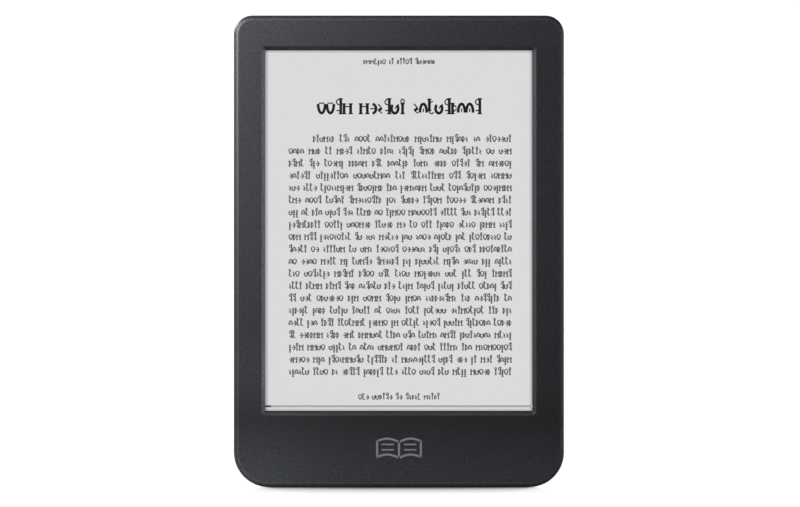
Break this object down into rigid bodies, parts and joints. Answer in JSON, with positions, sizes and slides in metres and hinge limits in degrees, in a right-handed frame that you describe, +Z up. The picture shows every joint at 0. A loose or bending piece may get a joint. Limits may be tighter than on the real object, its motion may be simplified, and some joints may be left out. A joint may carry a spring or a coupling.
{
  "type": "e-reader",
  "caption": "Six-inch e-reader: slim slab with a recessed e-paper screen in a matte bezel, wide chin, textured back with a power button, charging port in the bottom edge.",
  "frame": {"origin": "middle of the bottom edge's box, halfway through the thickness", "axes": "screen faces -Y, back faces +Y, +Z runs up the page, +X to the reader's right"},
  "size_m": [0.112, 0.0092, 0.16],
  "materials": {
    "bezel_plastic": "fine-grained matte",
    "cover_plastic": "fine-grained matte, dimpled grip area",
    "button_plastic": "smooth satin",
    "paper_white": "matte printed page",
    "clear_film": "anti-glare clear film",
    "panel_glass": "polished glass",
    "foam_black": "closed-cell foam",
    "seal_rubber": "moulded silicone",
    "frame_metal": "die-cast, satin",
    "steel": "stamped and plated",
    "contact_gold": "gold flash",
    "board": "solder mask",
    "chip_black": "moulded epoxy",
    "socket_ivory": "moulded",
    "latch_black": "moulded",
    "flat_cable": "polyimide film",
    "capacitor_tan": "sintered",
    "pouch_silver": "laminated foil",
    "adhesive_white": "tape",
    "light_clear": "moulded clear",
    "led_yellow": "phosphor resin",
    "lead_wire": "insulated wire",
    "coax_grey": "jacket"
  },
  "bodies": {
    "reader": {"front_bezel": "bezel_plastic", "rear_cover": "cover_plastic", "bezel_gasket": "foam_black", "light_guide": "clear_film", "touch_film": "clear_film", "optical_adhesive": "clear_film", "ink_film": "paper_white", "backplane_glass": "panel_glass", "driver_chips": "chip_black", "display_cable": "flat_cable", "touch_cable": "flat_cable", "light_strip": "flat_cable", "front_light_leds": "led_yellow", "screen_tape": "foam_black", "mid_frame": "frame_metal", "frame_screws": "steel", "board_screws": "steel", "main_board": "board", "board_shield": "steel", "processor": "chip_black", "memory_chip": "chip_black", "storage_chip": "chip_black", "power_chip": "chip_black", "screen_power_chip": "chip_black", "coils": "chip_black", "capacitors": "capacitor_tan", "crystal": "steel", "wireless_module": "steel", "magnet_sensor": "chip_black", "display_socket": "socket_ivory", "touch_socket": "socket_ivory", "light_socket": "socket_ivory", "switch_body": "steel", "button_ring": "foam_black", "status_led": "led_yellow", "light_pipe": "light_clear", "port_shell": "steel", "port_tongue": "latch_black", "port_contacts": "contact_gold", "port_seal": "seal_rubber", "battery": "pouch_silver", "battery_board": "board", "battery_socket": "socket_ivory", "battery_plug": "socket_ivory", "battery_leads": "lead_wire", "battery_tape": "adhesive_white", "battery_pad": "foam_black", "antenna": "contact_gold", "antenna_lead": "coax_grey"},
    "power_button": {"power_button": "button_plastic"},
    "switch_plunger": {"switch_plunger": "latch_black"},
    "display_latch": {"display_latch": "latch_black"},
    "touch_latch": {"touch_latch": "latch_black"},
    "light_latch": {"light_latch": "latch_black"}
  },
  "joints": [
    {"name": "power_button_press", "type": "slide", "parent": "reader", "child": "power_button", "axis": [0, -1, 0], "range_m": [0, 0.0003], "stiffness_N_per_m": 500},
    {"name": "switch_plunger_press", "type": "slide", "parent": "reader", "child": "switch_plunger", "axis": [0, -1, 0], "range_m": [0, 0.0003]},
    {"name": "display_latch_flip", "type": "hinge", "parent": "reader", "child": "display_latch", "pos_m": [-0.022, 0.0013, 0.0205], "axis": [1, 0, 0], "range_deg": [0, 90]},
    {"name": "touch_latch_flip", "type": "hinge", "parent": "reader", "child": "touch_latch", "pos_m": [0.016, 0.0013, 0.0205], "axis": [1, 0, 0], "range_deg": [0, 90]},
    {"name": "light_latch_flip", "type": "hinge", "parent": "reader", "child": "light_latch", "pos_m": [0.029, 0.0013, 0.0205], "axis": [1, 0, 0], "range_deg": [0, 90]}
  ],
  "couplings": [
    {"joint": "switch_plunger_press", "follows": "power_button_press", "ratio": 1}
  ]
}
